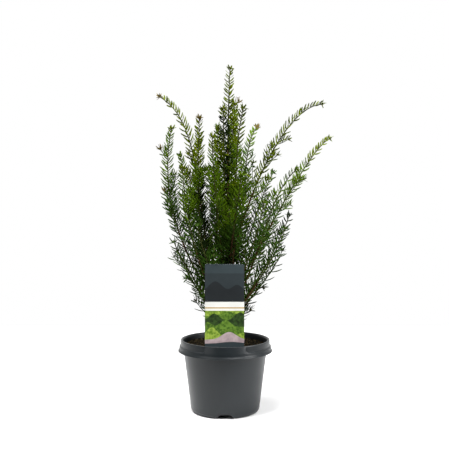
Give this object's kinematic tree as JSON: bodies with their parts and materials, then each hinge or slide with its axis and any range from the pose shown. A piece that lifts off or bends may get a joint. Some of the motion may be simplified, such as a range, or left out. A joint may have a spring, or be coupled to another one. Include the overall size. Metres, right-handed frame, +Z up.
{
  "type": "potted english yew",
  "caption": "Young English yew with upright, arching needle-clad shoots in a round nursery pot with a plain card.",
  "frame": {"origin": "on the floor, under the middle of the pot", "axes": "+Z up along the trunk, the card at -Y, which is the side seen in the picture; +X to the right of the picture"},
  "size_m": [0.3335, 0.2481, 0.634],
  "materials": {
    "pot": "satin anthracite moulded plastic",
    "soil": "moist peat compost with bark chips",
    "card": "printed plastic sheet, satin",
    "bark": "reddish brown flaking bark",
    "young_bark": "olive green young stems",
    "foliage": "leathery needles, satin above and matt below"
  },
  "bodies": {
    "root": {"pot": "pot", "soil": "soil", "label_card": "card", "trunk": "bark", "bough_right_arch_high": "young_bark", "bough_right_arch_low": "young_bark", "bough_right_slim": "young_bark", "bough_right_inner": "young_bark", "bough_right_back": "young_bark", "bough_right_mid": "young_bark", "bough_right_front": "young_bark", "bough_right_low": "young_bark", "bough_left_arch": "young_bark", "bough_left_mid": "young_bark", "bough_left_tall": "young_bark", "bough_left_slant": "young_bark", "bough_left_front": "young_bark", "bough_left_low": "young_bark", "bough_back_left": "young_bark", "bough_mid_left": "young_bark", "bough_mid_right": "young_bark", "bough_mid_front": "young_bark", "bough_back_right": "young_bark", "bough_front_lean": "young_bark", "bough_back_lean": "young_bark", "bough_back_low": "young_bark", "bough_front_right": "young_bark", "bough_far_left": "young_bark", "bough_far_right": "young_bark", "leaves_leader": "foliage", "leaves_right_arch_high": "foliage", "leaves_right_arch_low": "foliage", "leaves_right_slim": "foliage", "leaves_right_inner": "foliage", "leaves_right_back": "foliage", "leaves_right_mid": "foliage", "leaves_right_front": "foliage", "leaves_right_low": "foliage", "leaves_right_foot": "foliage", "leaves_left_arch": "foliage", "leaves_left_mid": "foliage", "leaves_left_tall": "foliage", "leaves_left_slant": "foliage", "leaves_left_front": "foliage", "leaves_left_low": "foliage", "leaves_left_sweep": "foliage", "leaves_left_foot": "foliage", "leaves_back_left": "foliage", "leaves_mid_left": "foliage", "leaves_mid_right": "foliage", "leaves_mid_front": "foliage", "leaves_back_right": "foliage", "leaves_front_lean": "foliage", "leaves_back_lean": "foliage", "leaves_back_low": "foliage", "leaves_front_right": "foliage", "leaves_near_left": "foliage", "leaves_far_left": "foliage", "leaves_far_right": "foliage"}
  },
  "joints": []
}
